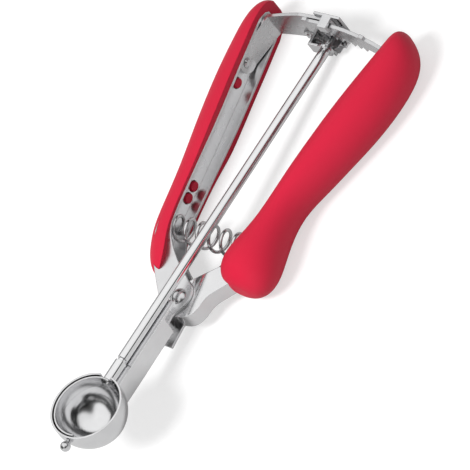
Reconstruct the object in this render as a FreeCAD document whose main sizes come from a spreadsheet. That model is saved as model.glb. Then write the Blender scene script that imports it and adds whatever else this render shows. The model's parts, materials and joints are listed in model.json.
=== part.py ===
import FreeCAD, Part
import Sketcher
import math
import os
from FreeCAD import Placement, Rotation, Vector

# Lever ice cream scoop: a bowl with a sweeping wiper, worked by squeezing two sprung handles.
# The handles lie in the XY plane and pivot about Z. The shaft, neck and bowl lean up out of that
# plane by shaft_lean, so they are drawn along their own X axis and then leaned.
doc = FreeCAD.newDocument("lever_scoop")

# Driving dimensions in millimetres and degrees
SIZES = [
    ("bowl_radius", 15.0), ("bowl_wall", 0.8), ("rim_rise", 3.2), ("notch_width", 5.6),
    ("shaft_lean", 7.5), ("bowl_reach", 58.92), ("bowl_lift", 19.76), ("shaft_side", 0.6),
    ("shaft_radius", 2.25), ("stub_radius", 1.6), ("stem_radius", 2.4), ("groove_radius", 1.6),
    ("groove_width", 1.3), ("spigot_radius", 1.2), ("spigot_depth", 8.0), ("stem_end", 24.4),
    ("blade_gap", 0.3), ("blade_wall", 0.6), ("ball_play", 0.15), ("neck_overlap", 3.0),
    ("blade_width", 6.0), ("hub_radius", 2.6), ("tip_pin_radius", 1.1), ("tip_ball_radius", 2.1),
    ("head_thick", 1.1), ("tip_head_radius", 2.0),
    ("sheet", 1.2), ("neck_width", 7.2), ("neck_depth", 10.0), ("neck_drop", 2.75),
    ("neck_length", 48.0), ("tongue_length", 56.0), ("nose_length", 18.0),
    ("ear_half", 5.4), ("grip_half", 8.2), ("lever_half", 4.0), ("trough_half", 7.2),
    ("channel_length", 128.5), ("lever_length", 120.5),
    ("rivet_radius", 2.3), ("dome_radius", 3.5), ("dome_height", 1.7), ("ear_play", 0.2),
    ("guide_radius", 127.8), ("guide_width", 12.8), ("guide_drop", 7.4), ("guide_sheet", 1.5),
    ("guide_end", 5.5), ("guide_fold", 27.0), ("foot_end", 101.5), ("foot_bend", 109.0),
    ("rack_play", 0.3), ("rack_sheet", 1.6), ("rack_top", 9.2), ("tooth_height", 2.7),
    ("rack_start", 8.0), ("rack_end", 33.0), ("rack_foot", 104.0), ("stop_height", 1.0),
    ("stop_place", 23.7), ("stop_width", 2.2), ("rest_level", 10.8),
    ("pinion_teeth", 9.0), ("tooth_pitch", 3.3), ("tooth_crest", 1.1), ("tooth_root", 1.35),
    ("pinion_front", 123.4), ("bearing_gap", 0.25), ("bearing_sheet", 1.2),
    ("running_play", 0.06), ("saddle_play", 0.6), ("slot_play", 0.3), ("tooth_room", 0.5),
    ("bearing_rim", 1.5), ("wall_side", 7.3), ("flange_reach", 4.6), ("flange_rivet_place", 2.6),
    ("strap_low", -5.5), ("strap_high", -1.2), ("back_low", -9.4), ("back_high", 3.4),
    ("shelf_high", -6.2), ("lip_drop", 2.6), ("shelf_room", 0.6), ("peen_gap", 0.4), ("arm_step", 0.2),
    ("wire_radius", 0.72), ("coil_radius", 4.9), ("coil_turns", 7.0), ("coil_place", 29.0),
    ("coil_seat", 0.3), ("coil_bend", 2.4), ("small_rivet", 1.3), ("small_head", 2.2),
    ("head_rise", 0.8), ("head_taper", 0.6), ("rivet_seat", 0.04), ("thin_rivet", 1.04),
    ("flange_head", 1.65), ("flange_rise", 0.64), ("neck_head", 1.54), ("neck_rise", 0.56),
    ("neck_tail", 1.32), ("neck_tail_rise", 0.48),
    ("lug_radius", 2.1), ("lug_play", 0.4), ("lug_proud", 1.0), ("lug_high", 96.5),
    ("lug_low", 43.0), ("lug_side", -1.0), ("lug_low_side", -2.4), ("lug_land", 0.6), ("lug_root", 2.88),
]
sheet = doc.addObject("Spreadsheet::Sheet", "Sizes")
for row, (alias, value) in enumerate(SIZES, 1):
    sheet.set("A%d" % row, alias)
    sheet.set("B%d" % row, "%g" % value)
    sheet.setAlias("B%d" % row, alias)
doc.recompute()


def size(alias):
    return float(sheet.get(alias))


pieces = []


# Every finished sub-part is listed with its name and its place in the handles' frame
def keep(obj, label, place=Placement()):
    obj.Label = label
    pieces.append((obj, place))
    return obj


def feature(label, shape, place=Placement()):
    obj = doc.addObject("Part::Feature", label)
    obj.Shape = shape
    return keep(obj, label, place)


# A Part primitive whose sizes follow the sheet, set along the +X axis from x where that is asked
def bound(kind, name, x=None, back=False, **cells):
    obj = doc.addObject("Part::" + kind, name)
    for prop, expression in cells.items():
        obj.setExpression(prop, expression)
    if x is not None:
        obj.Placement = Placement(Vector(x, 0, 0), Rotation(Vector(0, 1, 0), -90 if back else 90))
    return obj


def joined(label, parts, place=Placement()):
    obj = doc.addObject("Part::MultiFuse", label)
    obj.Shapes = parts
    return keep(obj, label, place)


lean = Placement(Vector(-size("bowl_reach"), size("shaft_side"), size("bowl_lift")),
                 Rotation(Vector(0, 1, 0), size("shaft_lean")))
lean_angle = math.radians(size("shaft_lean"))


# Distance along the shaft, from the bowl's centre, of the point whose X is given in the handles' frame
def along(x):
    return (x + size("bowl_reach")) / math.cos(lean_angle)


# Height of the shaft's axis over the handles' plane at a given X
def shaft_height(x):
    return size("bowl_lift") - along(x) * math.sin(lean_angle)


def cylinder(radius, length, base, axis):
    return Part.makeCylinder(radius, length, Vector(*base), Vector(*axis))


def block(x, y, z):
    low = Vector(x[0], y[0], z[0])
    return Part.makeBox(x[1] - x[0], y[1] - y[0], z[1] - z[0], low)


# A closed face from runs of points: a run of two points is a line, a longer one a smooth curve
def outline(runs, lift=0.0):
    edges = []
    for run in runs:
        points = [Vector(x, y, lift) for x, y in run]
        if len(points) == 2:
            edges.append(Part.LineSegment(*points).toShape())
        else:
            curve = Part.BSplineCurve()
            curve.interpolate(points)
            edges.append(curve.toShape())
    return Part.Face(Part.Wire(edges))


# The same curve moved sideways by a distance, to its left as it runs
def moved(points, distance):
    result = []
    for i, (x, y) in enumerate(points):
        x0, y0 = points[max(i - 1, 0)]
        x1, y1 = points[min(i + 1, len(points) - 1)]
        run = math.hypot(x1 - x0, y1 - y0)
        result.append((x - distance * (y1 - y0) / run, y + distance * (x1 - x0) / run))
    return result


def slab(runs, half):
    return outline(runs, -half).extrude(Vector(0, 0, 2 * half))


# A prism across the handles whose side view follows half widths given at stations along X
def waist(stations):
    spread = 90.0
    upper = [Vector(x, -spread, half) for x, half in stations]
    lower = [Vector(x, -spread, -half) for x, half in reversed(stations)]
    ring = upper + lower + upper[:1]
    return Part.Face(Part.makePolygon(ring)).extrude(Vector(0, 2 * spread, 0))


# Bowl: a spun hemisphere with a short straight wall, drawn round its upright axis
bowl_radius = size("bowl_radius")
bowl_inner = bowl_radius - size("bowl_wall")
rim_rise = size("rim_rise")
bowl_body = doc.addObject("PartDesign::Body", "bowl")
planes = {f.Role: f for f in bowl_body.Origin.OriginFeatures}
profile = bowl_body.newObject("Sketcher::SketchObject", "bowl_profile")
profile.AttachmentSupport = (planes["XZ_Plane"], "")
profile.MapMode = "FlatFace"
for radius in (bowl_radius, bowl_inner):
    profile.addGeometry(Part.ArcOfCircle(Part.Circle(Vector(0, 0, 0), Vector(0, 0, 1), radius),
                                         -math.pi / 2, 0), False)
for start, end in (((bowl_radius, 0), (bowl_radius, rim_rise)), ((bowl_radius, rim_rise), (bowl_inner, rim_rise)),
                   ((bowl_inner, rim_rise), (bowl_inner, 0)), ((0, -bowl_inner), (0, -bowl_radius))):
    profile.addGeometry(Part.LineSegment(Vector(*start, 0), Vector(*end, 0)), False)
for arc in (0, 1):
    profile.addConstraint(Sketcher.Constraint("Coincident", arc, 3, -1, 1))
    profile.addConstraint(Sketcher.Constraint("PointOnObject", arc, 1, -2))
    profile.addConstraint(Sketcher.Constraint("PointOnObject", arc, 2, -1))
for first, first_end, second, second_end in ((0, 2, 2, 1), (2, 2, 3, 1), (3, 2, 4, 1), (4, 2, 1, 2), (5, 1, 1, 1),
                                             (5, 2, 0, 1)):
    profile.addConstraint(Sketcher.Constraint("Coincident", first, first_end, second, second_end))
profile.addConstraint(Sketcher.Constraint("Vertical", 2))
profile.addConstraint(Sketcher.Constraint("Horizontal", 3))
profile.addConstraint(Sketcher.Constraint("Vertical", 4))
for name, kind, item, value, cells in (("outer", "Radius", (0,), bowl_radius, "Sizes.bowl_radius"),
                                       ("inner", "Radius", (1,), bowl_inner, "Sizes.bowl_radius - Sizes.bowl_wall"),
                                       ("rise", "DistanceY", (2, 1, 2, 2), rim_rise, "Sizes.rim_rise")):
    index = profile.addConstraint(Sketcher.Constraint(kind, *item, value))
    profile.renameConstraint(index, name)
    profile.setExpression("Constraints." + name, cells)
spun = bowl_body.newObject("PartDesign::Revolution", "bowl_spun")
spun.Profile = profile
spun.ReferenceAxis = (profile, ["V_Axis"])
spun.Angle = 360
doc.recompute()


# A straight-sided cut through one wall of the bowl, seen along the shaft
def bowl_cut(name, geometry, reversed_cut):
    sketch = bowl_body.newObject("Sketcher::SketchObject", name + "_outline")
    sketch.AttachmentSupport = (planes["YZ_Plane"], "")
    sketch.MapMode = "FlatFace"
    for item in geometry:
        sketch.addGeometry(item, False)
    before = bowl_body.Shape.Volume
    pocket = bowl_body.newObject("PartDesign::Pocket", name)
    pocket.Profile = sketch
    pocket.Type = 0
    pocket.setExpression("Length", "Sizes.bowl_radius * 1.2")
    pocket.Reversed = reversed_cut
    doc.recompute()
    if not bowl_body.Shape.Volume < before - 0.1:
        raise RuntimeError(name + " cuts nothing")


half_notch = size("notch_width") / 2
notch = [Part.LineSegment(Vector(-half_notch, 0, 0), Vector(-half_notch, 2 * rim_rise, 0)),
         Part.LineSegment(Vector(-half_notch, 2 * rim_rise, 0), Vector(half_notch, 2 * rim_rise, 0)),
         Part.LineSegment(Vector(half_notch, 2 * rim_rise, 0), Vector(half_notch, 0, 0)),
         Part.ArcOfCircle(Part.Circle(Vector(0, 0, 0), Vector(0, 0, 1), half_notch), math.pi, 2 * math.pi)]
bowl_cut("shaft_notch", notch, True)
tip_hole = size("tip_pin_radius") + size("running_play")
bowl_cut("tip_hole", [Part.Circle(Vector(0, 0, 0), Vector(0, 0, 1), tip_hole)], False)
keep(bowl_body, "bowl", lean)

# Neck: a folded channel, open below, welded to the bowl; its top sheet runs on under the shaft
thin = size("sheet")
neck_half = size("neck_width") / 2
neck_top = -size("neck_drop")
neck_low = neck_top - size("neck_depth")
neck = block((bowl_radius - size("neck_overlap"), size("neck_length")), (-neck_half, neck_half), (neck_low, neck_top))
neck = neck.cut(block((0, size("neck_length") + thin), (-neck_half + thin, neck_half - thin),
                      (neck_low - thin, neck_top - thin)))
neck = neck.fuse(block((size("neck_length"), size("tongue_length")), (-neck_half, neck_half),
                       (neck_top - thin, neck_top))).removeSplitter()
neck = neck.cut(Part.makeSphere(bowl_radius))
neck_piece = feature("neck_channel", neck, lean)

# Plan of the fixed handle: the open side that faces the trigger, and the back that holds the grip
side = size("shaft_side")
nose = -size("nose_length")
nose_half = neck_half - thin
handle_end = size("channel_length")
handle_open = [(14.2, 8.9), (20.8, 15.2), (28, 19.1), (38.5, 20.6), (55, 21.9), (74, 23.3),
               (100, 26.1), (handle_end, 29.4)]
handle_back = [(-9.5, side + nose_half), (-1.5, 9.4), (8, 17.3), (15.5, 22.2), (25, 25.1), (43, 26.8),
               (68, 28.9), (97, 31.9), (handle_end, 35.1)]
ear = [(7.2, -1.2), (5.2, -4.0), (0.6, -5.4), (-3.8, -4.2), (-8.0, side - nose_half)]
handle_plan = [[(nose, side - nose_half), (nose, side + nose_half)],
               [(nose, side + nose_half), handle_back[0]], handle_back, [handle_back[-1], handle_open[-1]],
               list(reversed(handle_open)), [handle_open[0], ear[0]], ear, [ear[-1], (nose, side - nose_half)]]
ear_half = size("ear_half")
grip_half = size("grip_half")
flare = grip_half - ear_half
handle_waist = [(nose - 2, ear_half), (15, ear_half), (22.5, ear_half + 0.62 * flare), (36, ear_half + 0.64 * flare),
                (58, ear_half + 0.76 * flare), (84, ear_half + 0.92 * flare),
                (104, grip_half), (handle_end - 6, grip_half), (handle_end - 1.8, grip_half - 1.8),
                (handle_end + 0.4, grip_half - 4.4)]
handle_solid = slab(handle_plan, grip_half + 1).common(waist(handle_waist))
web_face = [(handle_back[0][0], side + nose_half - thin)] + moved(handle_back, -thin)[1:-1]
web_face.append((handle_end - thin, web_face[-1][1] + 3.1))
far = -30.0
hollow_plan = [web_face, [web_face[-1], (handle_end - thin, far)], [(handle_end - thin, far), (nose - 1, far)],
               [(nose - 1, far), (nose - 1, web_face[0][1])], [(nose - 1, web_face[0][1]), web_face[0]]]
hollow_waist = [(x - (thin if x > handle_end - 10 else 0), half - thin) for x, half in handle_waist]
handle_hollow = slab(hollow_plan, grip_half + 1).common(waist(hollow_waist))
handle = handle_solid.cut(handle_hollow)
lug_hole = size("lug_radius") + size("lug_play")
lug_spots = [(size("lug_high"), size("lug_side")), (size("lug_low"), size("lug_low_side")),
             (size("lug_low") + 2 * lug_hole + size("lug_land"), size("lug_low_side"))]
for spot, side_z in lug_spots:
    handle = handle.cut(cylinder(lug_hole, 30, (spot, 15, side_z), (0, 1, 0)))
rivet_radius = size("rivet_radius")
handle = handle.cut(cylinder(rivet_radius, 20, (0, 0, -10), (0, 0, 1)))


# Where the smooth curve through some points stands at one X, in plan
def level(points, x):
    curve = Part.BSplineCurve()
    curve.interpolate([Vector(px, py, 0) for px, py in points])
    fine = curve.discretize(600)
    for a, b in zip(fine, fine[1:]):
        if a.x <= x <= b.x:
            return a.y + (b.y - a.y) * (x - a.x) / (b.x - a.x)
    return fine[-1].y


# The direction square to that curve, towards +Y
def square_to(points, x):
    slope = (level(points, x + 1) - level(points, x - 1)) / 2
    return Vector(-slope, 1, 0).normalize()


# Fixed grip: a moulded half shell round the back of the handle, with lugs that snap into its web. It
# stays clear of the channel's open mouth.
# Each station gives X, the flat edge, the outermost point and the half width.
fixed_stations = [
    (6.6, 15.8, 17.8, 2.6), (8.2, 14.8, 20.6, 5.4), (12.4, 14.8, 24.4, 7.4), (18, 16.2, 27.3, 8.4),
    (24, 18.3, 29.4, 8.7), (32, 20.0, 30.8, 8.8), (43, 21.2, 31.9, 9.0), (56, 22.2, 33.5, 9.5),
    (68, 23.0, 35.2, 10.6), (82, 24.3, 37.2, 11.2), (97, 26.0, 38.8, 11.5), (112, 27.6, 39.5, 11.5),
    (122, 28.8, 39.3, 11.0), (128, 29.4, 38.4, 9.4), (131.8, 29.9, 36.8, 7.0), (134.0, 30.6, 34.4, 3.4),
]


def half_shell(x, flat, outer, half):
    centre = Vector(x, flat, 0)
    deep = outer - flat
    if deep > half:
        oval = Part.Ellipse(Vector(x, outer, 0), Vector(x, flat, half), centre)
        arc = Part.ArcOfEllipse(oval, -math.pi / 2, math.pi / 2)
    else:
        oval = Part.Ellipse(Vector(x, flat, half), Vector(x, outer, 0), centre)
        arc = Part.ArcOfEllipse(oval, -math.pi, 0)
    ends = [arc.StartPoint, arc.EndPoint]
    if abs(arc.value((arc.FirstParameter + arc.LastParameter) / 2).y - outer) > 0.01:
        arc = Part.ArcOfEllipse(oval, 0, math.pi)
        ends = [arc.StartPoint, arc.EndPoint]
    return Part.Wire([arc.toShape(), Part.LineSegment(ends[1], ends[0]).toShape()])


fixed_grip = Part.makeLoft([half_shell(*s) for s in fixed_stations], True, False)
mouth = [(x, y + thin / 2) for x, y in handle_open]
mouth_plan = [mouth, [mouth[-1], (mouth[-1][0], far)], [(mouth[-1][0], far), (mouth[0][0], far)],
              [(mouth[0][0], far), mouth[0]]]
mouth_cut = slab(mouth_plan, grip_half + 1).common(waist(handle_waist))
fixed_grip = fixed_grip.cut(handle_solid).cut(mouth_cut)
rest_cut = block((-200, 200), (-200, 200), (-100, -size("rest_level")))
fixed_grip = fixed_grip.cut(rest_cut)
for spot, side_z in lug_spots:
    web = level(handle_back, spot)
    lug = cylinder(size("lug_radius"), size("lug_root") + size("lug_proud"),
                   (spot, web - thin - size("lug_proud"), side_z), (0, 1, 0))
    fixed_grip = fixed_grip.fuse(lug)
fixed_grip_piece = feature("fixed_grip", fixed_grip)

# Pivot rivet through both ears
dome_curve = (size("dome_radius") ** 2 + size("dome_height") ** 2) / (2 * size("dome_height"))
pivot_rivet = cylinder(rivet_radius, 2 * ear_half, (0, 0, -ear_half), (0, 0, 1))
for way in (1, -1):
    ball_centre = Vector(0, 0, way * (ear_half + size("dome_height") - dome_curve))
    cap_space = block((-9, 9), (-9, 9), (ear_half, ear_half + 9) if way > 0 else (-ear_half - 9, -ear_half))
    pivot_rivet = pivot_rivet.fuse(Part.makeSphere(dome_curve, ball_centre).common(cap_space))
feature("pivot_rivet", pivot_rivet)

# Plan of the trigger frame: a channel open towards the fixed handle, its nose rolled round the pivot
lever_end = size("lever_length")
lever_back = [(-7.8, -1.6), (-7.6, -4.4), (-5.8, -8.3), (-1.6, -10.5), (2.6, -11.3), (8.5, -15.2), (16, -20.9),
              (24, -24.9), (38, -26.2), (51, -26.6), (64, -28.9), (77, -31.9), (98, -36.0), (lever_end, -38.4)]
lever_open = [(4.9, 3.2), (8.2, -0.6), (16.6, -9.4), (23, -15.6), (30, -18.7), (51, -19.7), (64, -22.0),
              (77, -25.0), (98, -29.0), (lever_end, -31.3)]
lever_ear = [(-7.8, -1.6), (-5.4, 2.2), (0, 5.4), (4.9, 3.2)]
lever_plan = [lever_back, [lever_back[-1], lever_open[-1]], list(reversed(lever_open)), list(reversed(lever_ear))]
lever_half = size("lever_half")
trough_half = size("trough_half")
lever_waist = [(-12, lever_half), (17, lever_half), (22.5, trough_half), (lever_end + 1, trough_half)]
lever_solid = slab(lever_plan, trough_half + 1).common(waist(lever_waist))
lever_web = moved(lever_back, thin)
lever_web = [(lever_web[0][0] - 3, lever_web[0][1] + 1.5)] + lever_web
lever_web[-1] = (lever_end + 1, lever_web[-1][1])
lever_hollow = [lever_web, [lever_web[-1], (lever_end + 1, 40)], [(lever_end + 1, 40), (lever_web[0][0], 40)],
                [(lever_web[0][0], 40), lever_web[0]]]
lever_cut = slab(lever_hollow, trough_half + 1).common(waist([(x, half - thin) for x, half in lever_waist]))
lever = lever_solid.cut(lever_cut)
lever = lever.cut(cylinder(rivet_radius + size("running_play"), 20, (0, 0, -10), (0, 0, 1)))
trigger_frame = feature("trigger_frame", lever)

# Rack: teeth on the lower edge of a strip bent to an arc about the pivot, its foot riveted in the trigger
guide_radius = size("guide_radius")
rack_outer = guide_radius - size("rack_play")
rack_inner = rack_outer - size("rack_sheet")
rack_mid = (rack_outer + rack_inner) / 2
pitch_angle = size("tooth_pitch") / rack_mid
pitch_radius = size("pinion_teeth") * size("tooth_pitch") / (2 * math.pi)
mesh_height = shaft_height(rack_mid)
pitch_height = mesh_height + pitch_radius
rack_root = pitch_height + size("tooth_root")
rack_tip = rack_root - size("tooth_height")


# Part of a ring about the pivot between two distances to the side, seen in plan
def ring_part(inner, outer, y0, y1, low, high):
    a0, a1 = math.asin(y0 / inner), math.asin(y1 / inner)
    mid = (a0 + a1) / 2

    def at(radius, angle):
        return Vector(radius * math.cos(angle), radius * math.sin(angle), low)
    edges = [Part.Arc(at(inner, a0), at(inner, mid), at(inner, a1)).toShape(),
             Part.LineSegment(at(inner, a1), at(outer, a1)).toShape(),
             Part.Arc(at(outer, a1), at(outer, mid), at(outer, a0)).toShape(),
             Part.LineSegment(at(outer, a0), at(inner, a0)).toShape()]
    return Part.Face(Part.Wire(edges)).extrude(Vector(0, 0, high - low))


rack = ring_part(rack_inner, rack_outer, -size("rack_end"), size("rack_start"), rack_root, size("rack_top"))
mesh_angle = math.asin(side / rack_mid)
first_tooth = math.ceil((-math.asin(size("stop_place") / rack_mid) - mesh_angle) / pitch_angle)
last_tooth = math.floor((math.asin(size("rack_start") / rack_mid) - mesh_angle) / pitch_angle) - 1
base_half = size("tooth_pitch") * 0.29
tip_half = size("tooth_pitch") * 0.09
overlap = 0.01
for number in range(first_tooth, last_tooth + 1):
    corners = [(-base_half, rack_root + overlap), (base_half, rack_root + overlap),
               (tip_half, rack_tip), (-tip_half, rack_tip)]
    ring = [Vector(rack_inner, y, z) for y, z in corners + corners[:1]]
    tooth = Part.Face(Part.makePolygon(ring)).extrude(Vector(rack_outer - rack_inner, 0, 0))
    turn = math.degrees(mesh_angle + (number + 0.5) * pitch_angle)
    tooth = tooth.common(ring_part(rack_inner, rack_outer, -2 * base_half, 2 * base_half,
                                   rack_tip, rack_root + overlap))
    tooth.rotate(Vector(0, 0, 0), Vector(0, 0, 1), turn)
    rack = rack.fuse(tooth)
stop_width = size("stop_width")
for stop_y in (-size("stop_place"), size("rack_start") - stop_width):
    rack = rack.fuse(ring_part(rack_inner, rack_outer, stop_y, stop_y + stop_width, size("rack_top"),
                               size("rack_top") + size("stop_height")))
end_angle = math.asin(size("rack_end") / rack_inner)
rack_corner = [(radius * math.cos(end_angle), -radius * math.sin(end_angle)) for radius in (rack_inner, rack_outer)]
foot_sheet = size("rack_sheet")
web_inner = moved(lever_back, thin)
foot_x0, foot_x1 = size("rack_foot"), lever_end - 4
foot_low = [(foot_x0, level(web_inner, foot_x0)), (foot_x1, level(web_inner, foot_x1))]
foot_plan = [[foot_low[0], foot_low[1]], [foot_low[1], (rack_corner[1][0], rack_corner[1][1])],
             [(rack_corner[1][0], rack_corner[1][1]), (rack_corner[0][0], rack_corner[0][1])],
             [(rack_corner[0][0], rack_corner[0][1]), (foot_low[1][0] - 0.6, foot_low[1][1] + foot_sheet)],
             [(foot_low[1][0] - 0.6, foot_low[1][1] + foot_sheet), (foot_x0, foot_low[0][1] + foot_sheet)],
             [(foot_x0, foot_low[0][1] + foot_sheet), foot_low[0]]]
foot_high = trough_half - thin - 0.3
foot = outline(foot_plan, rack_root).extrude(Vector(0, 0, foot_high - rack_root))
rack = rack.fuse(foot).removeSplitter()
rack_rivet_spots = (size("rack_foot") + 3.0, size("rack_foot") + 9.0)
rivet_height = (rack_root + foot_high) / 2


def rivet_head(radius, rise, base, out):
    return Part.makeCone(radius, radius * size("head_taper"), rise, base, out)


# A round-headed rivet from a point on a sheet's face, along way, through sheets of the given total thickness
def headed_rivet(start, way, grip):
    seat = size("rivet_seat")
    rivet = Part.makeCylinder(size("small_rivet"), grip + 2 * seat, start - way * seat, way)
    for base, out in ((start - way * seat, way * -1), (start + way * (grip + seat), way)):
        rivet = rivet.fuse(rivet_head(size("small_head"), size("head_rise"), base, out))
    return rivet


def bore_through(start, way, radius):
    return Part.makeCylinder(radius, 30, start - way * 15, way)


rack_rivets = []
for spot in rack_rivet_spots:
    start = Vector(spot, level(lever_back, spot), rivet_height)
    way = square_to(lever_back, spot)
    rack = rack.cut(bore_through(start, way, size("small_rivet")))
    lever = lever.cut(bore_through(start, way, size("small_rivet")))
    rack_rivets.append(headed_rivet(start, way, thin + foot_sheet + size("running_play")))
feature("rack", rack)
trigger_frame.Shape = lever
feature("rack_rivets", Part.makeCompound(rack_rivets))

# Trigger grip: a full moulded grip with a groove for the frame. Stations: X, centre, half depth, half width
trigger_stations = [
    (11.2, -21.9, 3.9, 3.5), (12.6, -21.7, 7.9, 7.6), (16, -21.5, 10.9, 10.4), (22, -21.4, 11.9, 12.0),
    (31, -21.9, 9.9, 11.7), (41, -22.4, 7.7, 10.6), (51, -23.2, 7.1, 10.2), (64, -26.0, 8.4, 10.9),
    (77, -29.3, 9.8, 11.5), (90, -32.6, 10.8, 12.0), (102, -35.3, 10.9, 12.1), (114, -37.4, 9.9, 11.9),
    (122, -38.0, 8.5, 11.2), (128, -37.3, 6.6, 9.6), (132, -35.9, 4.3, 6.8), (134, -35.2, 2.2, 3.6),
]


def oval_ring(x, centre, deep, half):
    middle = Vector(x, centre, 0)
    if deep > half:
        oval = Part.Ellipse(Vector(x, centre + deep, 0), Vector(x, centre, half), middle)
    else:
        oval = Part.Ellipse(Vector(x, centre, half), Vector(x, centre + deep, 0), middle)
    start = math.pi / 2 if deep > half else 0
    arcs = [Part.ArcOfEllipse(oval, start, start + math.pi),
            Part.ArcOfEllipse(oval, start + math.pi, start + 2 * math.pi)]
    return Part.Wire([arc.toShape() for arc in arcs])


trigger_grip = Part.makeLoft([oval_ring(*s) for s in trigger_stations], True, False)
groove_top = 20.0
groove_plan = [lever_back, [lever_back[-1], (lever_end, groove_top)],
               [(lever_end, groove_top), (lever_back[0][0], groove_top)],
               [(lever_back[0][0], groove_top), lever_back[0]]]
trigger_grip = trigger_grip.cut(slab(groove_plan, trough_half + 1).common(waist(lever_waist)))
slot_play = size("slot_play")
trigger_grip = trigger_grip.cut(ring_part(rack_inner - slot_play, rack_outer + slot_play, -size("rack_end") - 5, -15,
                                          rack_tip - slot_play, size("rack_top") + slot_play))
head_room = size("small_head") + slot_play
trigger_grip = trigger_grip.cut(block((lever_end - 5, rack_outer), (-size("rack_end") - 6, -20),
                                      (rack_root - slot_play, foot_high + slot_play)))
for spot in rack_rivet_spots:
    start = Vector(spot, level(lever_back, spot), rivet_height)
    way = square_to(lever_back, spot)
    room = Part.makeCylinder(head_room, size("head_rise") + 2 * slot_play + 1, start + way, way * -1)
    trigger_grip = trigger_grip.cut(room)
trigger_grip = trigger_grip.cut(rest_cut)
feature("trigger_grip", trigger_grip)

# Guide arm: a strip bent to the same arc, folded down into a foot riveted inside the fixed handle
guide_outer = guide_radius + size("guide_sheet")
guide_width = size("guide_width")
guide_half = guide_width / 2
saddle_low = size("rack_top") + size("saddle_play")
guide_top = saddle_low - size("arm_step")
guide = ring_part(guide_radius, guide_outer, -size("guide_end"), size("guide_fold"), -size("guide_drop"), guide_top)
fold_y = size("guide_fold")
bevel_start = fold_y / 2.5
for way, edge in ((1, guide_top), (-1, size("guide_drop"))):
    clear = way * (guide_top + guide_width)
    corners = [(fold_y + 1, way * guide_half), (fold_y, way * guide_half), (bevel_start, way * edge),
               (bevel_start, clear), (fold_y + 1, clear)]
    bevel = [Vector(guide_radius - guide_width, y, z) for y, z in corners + corners[:1]]
    guide = guide.cut(Part.Face(Part.makePolygon(bevel)).extrude(Vector(2 * guide_width, 0, 0)))
handle_web = moved(handle_back, -thin)
fold_angle = math.asin(size("guide_fold") / guide_radius)
fold = [(radius * math.cos(fold_angle), radius * math.sin(fold_angle)) for radius in (guide_radius, guide_outer)]
gsheet = size("guide_sheet")
pad_x0, pad_x1 = size("foot_end"), size("foot_bend")
pad_y0, pad_y1 = level(handle_web, pad_x0), level(handle_web, pad_x1)
arm_foot = [[(pad_x0, pad_y0), (pad_x1, pad_y1)], [(pad_x1, pad_y1), (fold[1][0], fold[1][1] + 0.6)],
            [(fold[1][0], fold[1][1] + 0.6), fold[1]], [fold[1], fold[0]],
            [fold[0], (pad_x1, pad_y1 - gsheet)], [(pad_x1, pad_y1 - gsheet), (pad_x0, pad_y0 - gsheet)],
            [(pad_x0, pad_y0 - gsheet), (pad_x0, pad_y0)]]
foot_face = outline(arm_foot, -guide_half)
arm_plate = foot_face.extrude(Vector(0, 0, 2 * guide_half))
round_end = cylinder(guide_half, 40, (pad_x0 + guide_half, 10, 0), (0, 1, 0))
round_end = round_end.fuse(block((pad_x0 + guide_half, handle_end + 4), (10, 50), (-guide_half, guide_half)))
guide = guide.fuse(arm_plate.common(round_end)).removeSplitter()
foot_rivet_x = pad_x0 + 4.0
foot_way = square_to(handle_back, foot_rivet_x)
foot_start = Vector(foot_rivet_x, level(handle_back, foot_rivet_x), 0)
guide = guide.cut(bore_through(foot_start, foot_way, size("small_rivet")))
handle = handle.cut(bore_through(foot_start, foot_way, size("small_rivet")))
grip_room = Part.makeCylinder(head_room, size("head_rise") + 2 * slot_play + 1, foot_start - foot_way, foot_way)
fixed_grip_piece.Shape = fixed_grip.cut(grip_room)

# Rod bearing bracket: a plate across the shaft, a side wall, and a flange riveted to the guide arm
bear_x1 = size("pinion_front") - size("bearing_gap") - (pitch_radius + size("tooth_crest")) * math.sin(lean_angle)
bear_x0 = bear_x1 - size("bearing_sheet")
shaft_low = shaft_height(bear_x1)
wall_y = (size("wall_side"), size("wall_side") + thin)
plate_half = size("shaft_radius") + size("bearing_rim")
plate_top = rack_tip - size("tooth_room")
bearing = block((bear_x0, bear_x1), (side, wall_y[1]), (shaft_low - plate_half, plate_top))
bearing = bearing.fuse(cylinder(plate_half, size("bearing_sheet"), (bear_x0, side, shaft_low), (1, 0, 0)))
bearing = bearing.fuse(block((bear_x0, guide_radius - thin - 0.2), wall_y, (shaft_low - plate_half, plate_top)))
flange = ring_part(guide_radius - thin, guide_radius, wall_y[0], wall_y[1] + size("flange_reach"),
                   -guide_half, plate_top)
bearing = bearing.fuse(flange).removeSplitter()
shaft_hole = cylinder(size("shaft_radius") + size("running_play"), 12, (along(bear_x0) - 6, 0, 0), (1, 0, 0))
shaft_hole.Placement = lean
bearing = bearing.cut(shaft_hole)
flange_spot = (wall_y[1] + size("flange_rivet_place"), (plate_top - guide_half) / 2)
flange_angle = math.asin(flange_spot[0] / guide_radius)
flange_dir = Vector(math.cos(flange_angle), math.sin(flange_angle), 0)
flange_foot = flange_dir * (guide_radius - thin) + Vector(0, 0, flange_spot[1])
thin_rivet = size("thin_rivet")
flange_hole = Part.makeCylinder(thin_rivet, 3 * thin + gsheet, flange_foot - flange_dir * thin, flange_dir)
bearing = bearing.cut(flange_hole)
guide = guide.cut(flange_hole)
feature("bearing_bracket", bearing)
flange_rivet = Part.makeCylinder(thin_rivet, thin + gsheet, flange_foot, flange_dir)
for start, way in ((flange_foot, -1), (flange_foot + flange_dir * (thin + gsheet), 1)):
    flange_rivet = flange_rivet.fuse(rivet_head(size("flange_head"), size("flange_rise"), start,
                                                flange_dir * way))
feature("bearing_rivet", flange_rivet)

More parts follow.
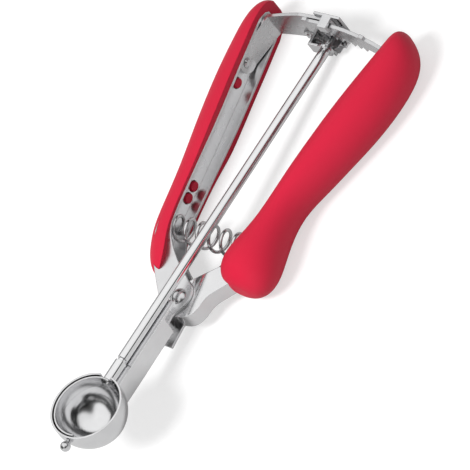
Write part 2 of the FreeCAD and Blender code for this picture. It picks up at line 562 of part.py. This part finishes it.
# Rack saddle: a plate welded behind the arm, folded over the rack and under its teeth
saddle_x0 = guide_outer
saddle_x1 = saddle_x0 + thin
saddle_top = saddle_low + thin
front_x = rack_inner - size("saddle_play") - thin
strap_y = (size("strap_low"), size("strap_high"))
back_y = (size("back_low"), size("back_high"))
shelf_top = rack_tip - size("shelf_room")
saddle = block((saddle_x0, saddle_x1), back_y, (-guide_half, saddle_top))
saddle = saddle.fuse(block((front_x, saddle_x1), strap_y, (saddle_low, saddle_top)))
saddle = saddle.fuse(block((front_x, front_x + thin), strap_y, (saddle_low - size("lip_drop"), saddle_low)))
saddle = saddle.fuse(block((front_x, saddle_x1), (back_y[0], size("shelf_high")), (shelf_top - thin, shelf_top)))
saddle = saddle.removeSplitter()
stub_hole = cylinder(size("stub_radius") + size("running_play"), 16, (along(guide_radius) - 6, 0, 0), (1, 0, 0))
stub_hole.Placement = lean
saddle = saddle.cut(stub_hole)
guide = guide.cut(stub_hole)
feature("rack_saddle", saddle)
feature("guide_arm", guide)
feature("arm_rivet", headed_rivet(foot_start, foot_way * -1, thin + gsheet + size("running_play")))

# Neck rivets through the neck's wall and the handle's nose
neck_rivet_spots = [(nose + 2.6, ear_half - thin - 1.8), (nose + 7.0, ear_half - thin - 1.8)]
neck_outer = side + neck_half
for x, z in neck_rivet_spots:
    bore = cylinder(thin_rivet, 20, (x, side, z), (0, 1, 0))
    handle = handle.cut(bore)
    bore.Placement = lean.inverse().multiply(bore.Placement)
    neck = neck.cut(bore)
neck_piece.Shape = neck
neck_rivets = []
for x, z in neck_rivet_spots:
    inner_face = side + nose_half - thin
    shank = cylinder(thin_rivet, neck_outer - inner_face, (x, inner_face, z), (0, 1, 0))
    head = rivet_head(size("neck_head"), size("neck_rise"), Vector(x, neck_outer, z), Vector(0, 1, 0))
    tail = rivet_head(size("neck_tail"), size("neck_tail_rise"), Vector(x, inner_face, z), Vector(0, -1, 0))
    neck_rivets.append(shank.fuse([head, tail]))
feature("neck_rivets", Part.makeCompound(neck_rivets))
feature("fixed_handle", handle)

# Shaft: a turned rod from the wiper stem to its peened end behind the saddle
pinion_x0 = along(size("pinion_front"))
stub_end = along(saddle_x1) + size("peen_gap")
shaft_start = size("stem_end") + 0.1
main_rod = bound("Cylinder", "main_rod", shaft_start, Radius="Sizes.shaft_radius")
main_rod.Height = pinion_x0 - 0.1 - shaft_start
rod_stub = bound("Cylinder", "rod_stub", pinion_x0 - 0.1, Radius="Sizes.stub_radius")
rod_stub.Height = stub_end - pinion_x0 + 0.1
rod_head = bound("Cone", "rod_head", stub_end, Radius1="Sizes.shaft_radius", Radius2="Sizes.stub_radius * 0.7",
                 Height="Sizes.head_thick")
rod_body = doc.addObject("Part::MultiFuse", "rod_body")
rod_body.Shapes = [main_rod, rod_stub, rod_head]
rod_socket = bound("Cylinder", "rod_socket", shaft_start, Radius="Sizes.spigot_radius + Sizes.running_play",
                   Height="Sizes.spigot_depth + 0.5")
shaft = doc.addObject("Part::Cut", "shaft")
shaft.Base = rod_body
shaft.Tool = rod_socket
keep(shaft, "shaft", lean)

# Wiper stem: the collared end piece that enters the bowl through its notch
blade_outer = bowl_inner - size("blade_gap")
blade_inner = blade_outer - size("blade_wall")
stem_rod = bound("Cylinder", "stem_rod", blade_outer, Radius="Sizes.stem_radius")
stem_rod.Height = size("stem_end") - blade_outer - size("groove_width")
groove = bound("Cylinder", "groove", size("stem_end") - size("groove_width") - 0.1, Radius="Sizes.groove_radius",
               Height="Sizes.groove_width + 0.1")
spigot = bound("Cylinder", "spigot", size("stem_end"), Radius="Sizes.spigot_radius", Height="Sizes.spigot_depth")
stem_solid = doc.addObject("Part::MultiFuse", "stem_solid")
stem_solid.Shapes = [stem_rod, groove, spigot]
stem_bore = bound("Cylinder", "stem_bore", blade_outer - 1, Radius="Sizes.tip_pin_radius", Height="4")
wiper_stem = doc.addObject("Part::Cut", "wiper_stem")
wiper_stem.Base = stem_solid
wiper_stem.Tool = stem_bore
keep(wiper_stem, "wiper_stem", lean)

# Pinion: a star wheel as long as its teeth are wide, pressed on the shaft's end
pinion_x1 = along(rack_outer) - (pitch_radius + size("tooth_crest")) * math.tan(lean_angle)
teeth = int(size("pinion_teeth"))
tip_r = pitch_radius + size("tooth_crest")
root_r = pitch_radius - size("tooth_root") - 0.15
step = 2 * math.pi / teeth
star = []
for number in range(teeth):
    angle = math.pi / 2 + number * step
    for radius, swing in ((root_r, -0.36), (tip_r, -0.07), (tip_r, 0.07), (root_r, 0.36)):
        star.append(Vector(pinion_x0, radius * math.cos(angle + swing * step), radius * math.sin(angle + swing * step)))
pinion = Part.Face(Part.makePolygon(star + star[:1])).extrude(Vector(pinion_x1 - pinion_x0, 0, 0))
pinion = pinion.cut(cylinder(size("stub_radius"), 20, (pinion_x0 - 5, 0, 0), (1, 0, 0)))
feature("pinion", pinion, lean)

# Wiper blade: a band of a thin ball shell that clears the bowl by blade_gap
shell = Part.makeSphere(blade_outer).cut(Part.makeSphere(blade_inner))
blade_half = size("blade_width") / 2
blade = shell.common(block((-bowl_radius, bowl_radius), (-blade_half * 0.8, bowl_radius), (-blade_half, blade_half)))
blade = blade.cut(cylinder(size("tip_pin_radius"), 4 * bowl_radius, (-2 * bowl_radius, 0, 0), (1, 0, 0)))
feature("wiper_blade", blade, lean)

# Hub rivet joins the blade to the stem; the tip pin turns in the bowl's far wall
hub_seat = math.sqrt(blade_inner ** 2 - size("hub_radius") ** 2) - 0.03
hub_pin = bound("Cylinder", "hub_pin", hub_seat, Radius="Sizes.tip_pin_radius", Height="3.2")
hub_head = bound("Cone", "hub_head", hub_seat, True, Radius1="Sizes.hub_radius", Radius2="Sizes.hub_radius * 0.6",
                 Height="Sizes.head_thick")
joined("hub_rivet", [hub_pin, hub_head], lean)
tip_seat = math.sqrt(blade_inner ** 2 - size("tip_head_radius") ** 2) - 0.03
tip_rod = bound("Cylinder", "tip_rod", -tip_seat, True, Radius="Sizes.tip_pin_radius")
tip_rod.Height = bowl_radius - tip_seat + size("tip_ball_radius")
tip_head = bound("Cone", "tip_head", -tip_seat, Radius1="Sizes.tip_head_radius",
                 Radius2="Sizes.tip_head_radius * 0.6", Height="Sizes.head_thick")
tip_ball = bound("Sphere", "tip_ball", -bowl_radius - size("tip_ball_radius") - size("ball_play"),
                 Radius="Sizes.tip_ball_radius")
joined("tip_pin", [tip_rod, tip_head, tip_ball], lean)


# Two arcs that join two points with given directions in one smooth bend
def biarc(p0, t0, p1, t1):
    v = p1 - p0
    a = 2 * (t0.dot(t1) - 1)
    b = -2 * v.dot(t0 + t1)
    c = v.dot(v)
    if abs(a) < 1e-9:
        d = -c / b
    else:
        d = (-b - math.sqrt(b * b - 4 * a * c)) / (2 * a)
        if d < 0:
            d = (-b + math.sqrt(b * b - 4 * a * c)) / (2 * a)
    c0, c1 = p0 + t0 * d, p1 - t1 * d
    q = (c0 + c1) * 0.5
    edges = []
    for start, corner, end in ((p0, c0, q), (q, c1, p1)):
        way0, way1 = (corner - start).normalize(), (end - corner).normalize()
        w = math.sqrt(max((1 + way0.dot(way1)) / 2, 0))
        top = (start + corner * (2 * w) + end) * (1 / (2 + 2 * w))
        edges.append(Part.Arc(start, top, end).toShape())
    return edges


# Return spring: one wire coiled between the two webs, each end turned square to its web
wire = size("wire_radius")
coil_r = size("coil_radius")
coil_x = size("coil_place")
seat_fixed = level(handle_web, coil_x) - size("coil_seat")
seat_trigger = level(web_inner, coil_x) + size("coil_seat")
turns = int(size("coil_turns"))
run_out = 2 * wire
bend = size("coil_bend")
coil_start = seat_fixed - run_out - bend
coil_end = seat_trigger + run_out + bend
rise = (coil_end - coil_start) / turns


def coil_point(turn):
    angle = 2 * math.pi * turn
    return Vector(coil_x + coil_r * math.cos(angle), coil_start + rise * turn, coil_r * math.sin(angle))


def coil_way(turn):
    angle = 2 * math.pi * turn
    way = Vector(-2 * math.pi * coil_r * math.sin(angle), rise, 2 * math.pi * coil_r * math.cos(angle))
    return way.normalize()


quarter = 0.25
down = Vector(0, -1, 0)
lead_angle = -quarter * 2 * math.pi
lead = Vector(coil_x + coil_r * math.cos(lead_angle), seat_fixed - run_out, coil_r * math.sin(lead_angle))
tail_turn = turns + quarter
tail_angle = 2 * math.pi * tail_turn
trail = Vector(coil_x + coil_r * math.cos(tail_angle), seat_trigger + run_out, coil_r * math.sin(tail_angle))
spring_edges = [Part.LineSegment(lead - down * run_out, lead).toShape()]
spring_edges += biarc(lead, down, coil_point(0), coil_way(0))
for number in range(turns * 4):
    spring_edges += biarc(coil_point(number * quarter), coil_way(number * quarter),
                          coil_point((number + 1) * quarter), coil_way((number + 1) * quarter))
spring_edges += biarc(coil_point(turns), coil_way(turns), trail, down)
spring_edges.append(Part.LineSegment(trail, trail + down * run_out).toShape())
path = Part.Wire(spring_edges)
section = Part.Wire([Part.Circle(lead - down * run_out, Vector(0, 1, 0), wire).toShape()])
spring = path.makePipeShell([section], True, False)
feature("return_spring", spring)
samples = []
for edge in spring_edges:
    count = max(int(edge.Length / 0.4), 1)
    samples += [(edge.valueAt(edge.FirstParameter + (edge.LastParameter - edge.FirstParameter) * i / count))
                for i in range(count)]
run = 0.4
least = 1e9
for i, here in enumerate(samples):
    for j in range(i + int(6 * wire / run) + 2, len(samples)):
        least = min(least, here.distanceToPoint(samples[j]))
print("spring: length %.1f mm, section times length %.1f, volume %.1f, least gap to itself %.2f mm"
      % (path.Length, path.Length * math.pi * wire * wire, spring.Volume, least - 2 * wire))

# The row's origin is the middle of the underside of the whole scoop, as it lies on a table
doc.recompute()
low = Vector(1e9, 1e9, 1e9)
high = Vector(-1e9, -1e9, -1e9)
for obj, place in pieces:
    shape = obj.Shape.copy()
    shape.Placement = place.multiply(shape.Placement)
    for point in shape.tessellate(0.03)[0]:
        low = Vector(min(low.x, point.x), min(low.y, point.y), min(low.z, point.z))
        high = Vector(max(high.x, point.x), max(high.y, point.y), max(high.z, point.z))
origin = Vector((low.x + high.x) / 2, (low.y + high.y) / 2, low.z)
shift = Placement(origin * -1, Rotation())
print("origin in the handles' frame: %.4f %.4f %.4f, size %.2f %.2f %.2f"
      % (origin.x, origin.y, origin.z, high.x - low.x, high.y - low.y, high.z - low.z))
for obj, place in pieces:
    obj.Placement = shift.multiply(place)
doc.recompute()

for obj in doc.Objects:
    if "Invalid" in obj.State or "Error" in obj.State:
        raise RuntimeError("%s failed: %s" % (obj.Label, obj.State))
os.makedirs("parts", exist_ok=True)
for obj, place in pieces:
    shape = obj.Shape
    if shape.isNull() or not shape.isValid():
        raise RuntimeError("%s is not a valid shape" % obj.Label)
    if not shape.Solids or shape.Volume <= 0:
        raise RuntimeError("%s holds no solid" % obj.Label)
    print("%-18s solids %d volume %9.2f" % (obj.Label, len(shape.Solids), shape.Volume))
    shape.exportStep(os.path.join("parts", obj.Label + ".step"))
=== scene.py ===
import bpy
import bmesh
import json
import math
from mathutils import Matrix, Vector


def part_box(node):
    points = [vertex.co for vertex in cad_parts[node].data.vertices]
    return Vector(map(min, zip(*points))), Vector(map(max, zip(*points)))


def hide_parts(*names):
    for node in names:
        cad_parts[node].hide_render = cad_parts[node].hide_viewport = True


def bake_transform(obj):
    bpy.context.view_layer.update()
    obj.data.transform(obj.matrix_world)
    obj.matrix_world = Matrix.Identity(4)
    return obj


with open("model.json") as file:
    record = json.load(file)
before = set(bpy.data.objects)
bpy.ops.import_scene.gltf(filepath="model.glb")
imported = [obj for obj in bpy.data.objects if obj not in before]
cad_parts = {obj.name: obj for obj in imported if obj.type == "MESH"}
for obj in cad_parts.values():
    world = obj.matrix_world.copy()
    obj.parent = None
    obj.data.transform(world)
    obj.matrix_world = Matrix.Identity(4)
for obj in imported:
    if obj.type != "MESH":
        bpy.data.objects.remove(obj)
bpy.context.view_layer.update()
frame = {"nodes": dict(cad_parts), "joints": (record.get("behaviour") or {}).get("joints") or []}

# Bowl. A thin hemisphere of stainless sheet, spun over a former and polished, so faint rings run
# round it. The neck is welded under its back, and the shaft enters through a notch in the rim.
bowl_centre = Vector(frame["joints"][1]["pos_m"])
shaft_way = Vector(frame["joints"][1]["axis"]).normalized()
lean_turn = (0, -math.asin(shaft_way.z), 0)


class Shade:
    """A socket of a network; arithmetic on it adds Math nodes."""

    def __init__(self, network, socket):
        self.network = network
        self.socket = socket

    def combine(self, operation, first, second):
        return self.network.node("ShaderNodeMath", {"operation": operation}, {0: first, 1: second})

    def __add__(self, other):
        return self.combine("ADD", self, other)

    def __radd__(self, other):
        return self.combine("ADD", other, self)

    def __sub__(self, other):
        return self.combine("SUBTRACT", self, other)

    def __rsub__(self, other):
        return self.combine("SUBTRACT", other, self)

    def __mul__(self, other):
        return self.combine("MULTIPLY", self, other)

    def __rmul__(self, other):
        return self.combine("MULTIPLY", other, self)


class Network:
    """The nodes of a material or of the room, all added by one method."""

    def __init__(self, tree):
        self.tree = tree

    def feed(self, socket, value):
        if isinstance(value, Shade):
            self.tree.links.new(value.socket, socket)
        else:
            socket.default_value = value

    def node(self, kind, settings, inputs, output=0):
        """Adds a node, with a ramp's stops in rising order among its settings, and gives one output."""
        made = self.tree.nodes.new(kind)
        for key, value in settings.items():
            if key == "stops":
                for spot, (place, colour) in enumerate(value):
                    if spot > 1:
                        made.color_ramp.elements.new(place)
                    made.color_ramp.elements[spot].position = place
                    made.color_ramp.elements[spot].color = colour
            else:
                setattr(made, key, value)
        for key, value in inputs.items():
            self.feed(made.inputs[key], value)
        return Shade(self, made.outputs[output])


class Finish(Network):
    """One material with its Principled shader."""

    def __init__(self, name, **constants):
        self.material = bpy.data.materials.new(name)
        self.material.use_nodes = True
        super().__init__(self.material.node_tree)
        self.shader = self.tree.nodes["Principled BSDF"]
        for socket, value in constants.items():
            self.shader.inputs[socket.replace("_", " ")].default_value = value

    def place(self, origin=(0, 0, 0), turn=(0, 0, 0), scale=(1, 1, 1)):
        """Position on the piece in metres, from an origin, with its axes turned and stretched."""
        spot = self.node("ShaderNodeTexCoord", {}, {}, "Object")
        moved = self.node("ShaderNodeVectorMath", {"operation": "SUBTRACT"}, {0: spot, 1: origin})
        return self.node("ShaderNodeMapping", {}, {"Vector": moved, "Rotation": turn, "Scale": scale})

    def noise(self, where, scale, detail=2.0, rough=0.5):
        return self.node("ShaderNodeTexNoise", {}, {"Vector": where, "Scale": scale, "Detail": detail,
                                                    "Roughness": rough})

    def tint(self, factor, low, high):
        """Base colour between two tones by a factor."""
        mixed = self.node("ShaderNodeMix", {"data_type": "RGBA"}, {0: factor, 6: (*low, 1), 7: (*high, 1)}, 2)
        self.feed(self.shader.inputs["Base Color"], mixed)

    def relief(self, layers, rounded):
        """Bumps laid one on another: (height, strength, depth in metres); rounded softens sharp edges."""
        bevel_samples = 6
        normal = None
        if rounded:
            normal = self.node("ShaderNodeBevel", {"samples": bevel_samples}, {"Radius": rounded})
        for height, strength, depth in layers:
            inputs = {"Height": height, "Strength": strength, "Distance": depth}
            if normal:
                inputs["Normal"] = normal
            normal = self.node("ShaderNodeBump", {}, inputs)
        self.feed(self.shader.inputs["Normal"], normal)

    def put_on(self, *pieces):
        for piece in pieces:
            for item in piece.material_slots:
                item.material = self.material


def steel(name, bright, dull, rough, grain, rounded, sag, turn=(0, 0, 0), origin=(0, 0, 0)):
    """Polished sheet or bar: smudges change its tone, and grain lines and a slight sag bend its reflections.

    rough is the lowest and highest roughness, grain the lines per metre along each turned axis, rounded the
    radius that the edges seem to have in metres, and sag the strength of the slow waves.
    """
    smudge_scale = 95.0
    swell_scale = 42.0
    swell_depth = 0.0009
    line_strength = 0.10
    line_depth = 0.00006
    smoothest, roughest = rough
    finish = Finish(name, Metallic=1.0)
    here = finish.place()
    smudge = finish.noise(here, smudge_scale, 4.0, 0.6)
    lines = finish.noise(finish.place(origin, turn, grain), 1.0, 3.0, 0.55)
    swell = finish.noise(here, swell_scale, 1.0)
    finish.tint(smudge, dull, bright)
    roughness = smoothest + (roughest - smoothest) * (0.6 * smudge + 0.4 * lines)
    finish.feed(finish.shader.inputs["Roughness"], roughness)
    finish.relief([(swell, sag, swell_depth), (lines, line_strength, line_depth)], rounded)
    return finish


bowl_steel = Finish("spun_bowl_steel", Metallic=1.0)
round_bowl = bowl_steel.place(bowl_centre, lean_turn)
rings = bowl_steel.node("ShaderNodeTexWave", {"wave_type": "RINGS", "rings_direction": "Z"},
                        {"Vector": round_bowl, "Scale": 420.0, "Distortion": 1.2, "Detail": 2.0})
bowl_smudge = bowl_steel.noise(round_bowl, 120.0, 4.0, 0.6)
bowl_swell = bowl_steel.noise(round_bowl, 60.0, 1.0)
bowl_steel.tint(bowl_smudge, low=(0.70, 0.70, 0.71), high=(0.86, 0.86, 0.865))
bowl_steel.feed(bowl_steel.shader.inputs["Roughness"], 0.06 + 0.12 * bowl_smudge)
bowl_steel.relief([(bowl_swell, 0.25, 0.0008), (rings, 0.06, 0.00005)], rounded=0.00025)
bowl_steel.put_on(frame["nodes"]["bowl"])

# Wiper blade. A band of the same thin steel, pressed to the bowl's curve so that it rubs along the wall
# and frees the ball. It is riveted to the stem at one end and held by the tip pin at the other.
blade_steel = steel("wiper_blade_steel", bright=(0.84, 0.84, 0.845), dull=(0.66, 0.66, 0.67),
                    rough=(0.10, 0.24), grain=(60, 900, 900), rounded=0.0002, sag=0.2,
                    turn=lean_turn, origin=bowl_centre)
blade_steel.put_on(frame["nodes"]["wiper_blade"])

# Neck. A channel folded from polished steel sheet, open below and welded to the bowl. Fine rolling
# lines run along it, and its edges are slightly rounded.
neck_steel = steel("neck_sheet_steel", bright=(0.90, 0.90, 0.905), dull=(0.78, 0.78, 0.79),
                   rough=(0.05, 0.14), grain=(40, 700, 700), rounded=0.0004, sag=0.5,
                   turn=lean_turn, origin=bowl_centre)
neck_steel.put_on(frame["nodes"]["neck_channel"])

# Fixed handle and trigger frame. Deep channels pressed from steel sheet, with slow waves left by the press
# and draw lines along their length. The trigger is the brighter one, and a rivet joins their ears.
pivot = Vector(frame["joints"][0]["pos_m"])
handle_turn = (0, 0, math.radians(-5))
trigger_turn = (0, 0, math.radians(8))
handle_steel = steel("handle_sheet_steel", bright=(0.86, 0.86, 0.865), dull=(0.70, 0.70, 0.71),
                     rough=(0.20, 0.38), grain=(45, 520, 520), rounded=0.0005, sag=0.6,
                     turn=handle_turn, origin=pivot)
handle_steel.put_on(frame["nodes"]["fixed_handle"])
trigger_steel = steel("trigger_sheet_steel", bright=(0.88, 0.88, 0.885), dull=(0.72, 0.72, 0.73),
                      rough=(0.06, 0.16), grain=(45, 520, 520), rounded=0.0005, sag=0.7,
                      turn=trigger_turn, origin=pivot)
trigger_steel.put_on(frame["nodes"]["trigger_frame"])

# Guide arm, rack, saddle and bearing bracket. Flat steel strip, blanked and bent, with the satin of the
# roll on its faces. Rivets hold the arm to the fixed handle, the bracket to the arm and the rack to the
# trigger.
strip_steel = steel("blanked_strip_steel", bright=(0.80, 0.80, 0.805), dull=(0.58, 0.58, 0.59),
                    rough=(0.18, 0.36), grain=(500, 60, 500), rounded=0.0003, sag=0.35, origin=pivot)
strip_steel.put_on(frame["nodes"]["guide_arm"], frame["nodes"]["rack"])
bracket_steel = steel("bracket_steel", bright=(0.84, 0.84, 0.845), dull=(0.60, 0.60, 0.61),
                      rough=(0.08, 0.20), grain=(500, 120, 500), rounded=0.0003, sag=0.4, origin=pivot)
bracket_steel.put_on(frame["nodes"]["rack_saddle"], frame["nodes"]["bearing_bracket"])

# Pinion. A star wheel cut from thick steel and tumbled, so it is duller than the pieces round it.
# It is pressed on the shaft, where its points mesh with the rack.
pinion_steel = steel("pinion_steel", bright=(0.74, 0.74, 0.745), dull=(0.45, 0.45, 0.46),
                     rough=(0.20, 0.38), grain=(400, 400, 400), rounded=0.0002, sag=0.2,
                     turn=lean_turn, origin=pivot)
pinion_steel.put_on(frame["nodes"]["pinion"])

# Shaft and stem. Bright drawn steel rod, with straight drawing lines along it and a high polish.
# The shaft turns in the bearing bracket, and the stem carries the wiper blade.
shaft_steel = steel("drawn_rod_steel", bright=(0.90, 0.90, 0.905), dull=(0.78, 0.78, 0.79),
                    rough=(0.04, 0.11), grain=(25, 1500, 1500), rounded=0.0002, sag=0.12,
                    turn=lean_turn, origin=bowl_centre)
shaft_steel.put_on(frame["nodes"]["shaft"], frame["nodes"]["wiper_stem"])

# Rivets and pins. Cold-headed steel, domed by the set, with shallow dents on the heads. They hold the
# sheets together, and the pivot rivet is the hinge of the two handles.
rivet_names = ("pivot_rivet", "neck_rivets", "rack_rivets", "arm_rivet", "bearing_rivet", "hub_rivet",
               "tip_pin")
rivet_steel = steel("headed_rivet_steel", bright=(0.82, 0.82, 0.825), dull=(0.60, 0.60, 0.61),
                    rough=(0.12, 0.28), grain=(700, 700, 700), rounded=0.0003, sag=0.5, origin=pivot)
rivet_steel.put_on(*[frame["nodes"][name] for name in rivet_names])

# Grips. Red moulded plastic with a soft-touch skin: matte, with a very fine even grain and a slow drift
# of tone. Lugs hold the fixed grip in its handle, and the trigger grip has a groove for its frame.
grip_skin = Finish("soft_red_grip", Metallic=0.0, Specular_IOR_Level=0.30)
on_grip = grip_skin.place()
grain = grip_skin.noise(on_grip, 2600.0, 2.0, 0.6)
drift = grip_skin.noise(on_grip, 30.0, 2.0)
grip_skin.tint(0.75 * drift + 0.25 * grain, low=(0.545, 0.0085, 0.034), high=(0.615, 0.0150, 0.050))
grip_skin.feed(grip_skin.shader.inputs["Roughness"], 0.46 + 0.10 * drift + 0.06 * grain)
grip_skin.relief([(drift, 0.10, 0.0006), (grain, 0.22, 0.00004)], rounded=0.0006)
grip_skin.put_on(frame["nodes"]["fixed_grip"], frame["nodes"]["trigger_grip"])

# Return spring. One drawn wire coiled between the two channels, its ends turned square to the webs.
spring_low, spring_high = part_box("return_spring")
wire_radius = 0.00072
spring_turns = 7.5
spring_steps = 520
spring_mid = (spring_low + spring_high) / 2
coil_radius = (spring_high.z - spring_low.z) / 2 - wire_radius
spring_axis_x = (spring_low.x + spring_high.x) / 2


def swing(share, ramp=0.055):
    """Share of the spring's whole turn reached at a share of its length: slow at both ends."""
    if share < ramp:
        return share * share / (2 * ramp * (1 - ramp))
    if share > 1 - ramp:
        return 1 - (1 - share) ** 2 / (2 * ramp * (1 - ramp))
    return (share - ramp / 2) / (1 - ramp)


def wire(name, points, radius, sides=14):
    """A round wire along closely spaced points, closed at both ends."""
    mesh = bmesh.new()
    side_way = Vector((1, 0, 0))
    loops = []
    for index, point in enumerate(points):
        ahead = points[min(index + 1, len(points) - 1)] - points[max(index - 1, 0)]
        ahead.normalize()
        side_way = (side_way - ahead * side_way.dot(ahead)).normalized()
        other_way = ahead.cross(side_way)
        loop = []
        for side in range(sides):
            angle = 2 * math.pi * side / sides
            outward = math.cos(angle) * side_way + math.sin(angle) * other_way
            loop.append(mesh.verts.new(point + radius * outward))
        loops.append(loop)
    for here, there in zip(loops, loops[1:]):
        for side in range(sides):
            after = (side + 1) % sides
            mesh.faces.new((here[side], here[after], there[after], there[side])).smooth = True
    mesh.faces.new(list(reversed(loops[0])))
    mesh.faces.new(loops[-1])
    bmesh.ops.recalc_face_normals(mesh, faces=mesh.faces)
    data = bpy.data.meshes.new(name)
    mesh.to_mesh(data)
    mesh.free()
    made = bpy.data.objects.new(name, data)
    bpy.context.scene.collection.objects.link(made)
    return made


spring_points = []
for step in range(spring_steps + 1):
    share = step / spring_steps
    angle = 2 * math.pi * spring_turns * swing(share) - math.pi / 2
    spring_points.append(Vector((spring_axis_x + coil_radius * math.cos(angle),
                                 spring_high.y + (spring_low.y - spring_high.y) * share,
                                 spring_mid.z + coil_radius * math.sin(angle))))
spring = wire("return_spring_wire", spring_points, wire_radius)
spring_steel = steel("spring_wire_steel", bright=(0.86, 0.86, 0.865), dull=(0.66, 0.66, 0.67),
                     rough=(0.08, 0.18), grain=(600, 600, 600), rounded=0.0, sag=0.1)
spring.data.materials.append(spring_steel.material)
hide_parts("return_spring")
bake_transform(spring)

# Floor. A plain table top that runs out of the view. It glows for the camera, so it shows white and keeps
# the scoop's soft shadow, and it glows faintly in polished steel.
floor_reach = 6.0
glow_seen = 0.55
glow_mirrored = 0.04
floor_corners = [(-floor_reach, -floor_reach, 0), (floor_reach, -floor_reach, 0),
                 (floor_reach, floor_reach, 0), (-floor_reach, floor_reach, 0)]
floor_data = bpy.data.meshes.new("table_top")
floor_data.from_pydata(floor_corners, [], [(0, 1, 2, 3)])
floor = bpy.data.objects.new("table_top", floor_data)
bpy.context.scene.collection.objects.link(floor)
table = Finish("white_table", Base_Color=(0.50, 0.50, 0.50, 1), Roughness=0.9, Emission_Color=(1, 1, 1, 1))
seen = table.node("ShaderNodeLightPath", {}, {}, "Is Camera Ray")
mirrored = table.node("ShaderNodeLightPath", {}, {}, "Is Glossy Ray")
refracted = table.node("ShaderNodeLightPath", {}, {}, "Is Transmission Ray")
glow = glow_seen * seen + glow_mirrored * (mirrored + refracted)
table.feed(table.shader.inputs["Emission Strength"], glow)
floor_data.materials.append(table.material)

# Studio. An even surround, with a soft lamp overhead to the left and a weaker, wider one on the near side.
# Polished steel sees a room instead, by height: white overhead and at the table's edge, with dark between
# them that a large soft pattern makes uneven.
surround_grey = 0.46
cloud_scale = 1.15
cloud_depth = 0.9
room_bands = ((0.06, 0.95), (0.18, 0.60), (0.28, 0.04), (0.46, 0.02),
              (0.58, 0.16), (0.68, 0.85), (0.80, 1.0))
world = bpy.data.worlds.new("studio")
bpy.context.scene.world = world
world.use_nodes = True
room = Network(world.node_tree)
heading = room.node("ShaderNodeTexCoord", {}, {}, "Generated")
height = room.node("ShaderNodeSeparateXYZ", {}, {"Vector": heading}, "Z")
cloud = room.node("ShaderNodeTexNoise", {}, {"Vector": heading, "Scale": cloud_scale, "Detail": 0.0})
room_stops = [(place, (grey, grey, grey, 1)) for place, grey in room_bands]
bands = room.node("ShaderNodeValToRGB", {"stops": room_stops}, {"Fac": height + cloud_depth * (cloud - 0.5)})
glossy = room.node("ShaderNodeLightPath", {}, {}, "Is Glossy Ray")
surround = (surround_grey, surround_grey, surround_grey, 1)
sight = room.node("ShaderNodeMix", {"data_type": "RGBA"}, {0: glossy, 6: surround, 7: bands}, 2)
backdrop = room.tree.nodes["Background"]
backdrop.inputs["Strength"].default_value = 1.0
room.feed(backdrop.inputs["Color"], sight)
lamp_aim = Vector((0.0, 0.0, 0.02))
lamps = (("key_lamp", (-0.62, 0.13, 1.06), 0.38, 13.0),
         ("fill_lamp", (-0.7, -0.9, 0.6), 0.7, 3.0))
for name, spot, span, power in lamps:
    lamp_data = bpy.data.lights.new(name, "AREA")
    lamp_data.size = span
    lamp_data.energy = power
    lamp = bpy.data.objects.new(name, lamp_data)
    lamp.location = spot
    lamp.rotation_euler = (lamp_aim - Vector(spot)).to_track_quat("-Z", "Y").to_euler()
    lamp.visible_glossy = False
    bpy.context.scene.collection.objects.link(lamp)

# Camera. It looks down on the bowl's side of the scoop through a long lens, turned so that the handles
# rise to the right.
eye = pivot + Vector((-0.2755, -0.7030, 0.9038))
aim = pivot + Vector((0.0330, -0.0064, 0.0))
upright = Vector((0.8504, 0.2335, 0.4703))
view_back = (eye - aim).normalized()
view_right = upright.cross(view_back).normalized()
view_up = view_back.cross(view_right)
camera_data = bpy.data.cameras.new("camera")
camera_data.lens = 228.7
camera_data.sensor_width = 36.0
camera_data.clip_end = 50.0
camera = bpy.data.objects.new("camera", camera_data)
camera.matrix_world = Matrix.Translation(eye) @ Matrix((view_right, view_up, view_back)).transposed().to_4x4()
bpy.context.scene.collection.objects.link(camera)
bpy.context.scene.camera = camera
bpy.context.scene.view_settings.view_transform = "Standard"
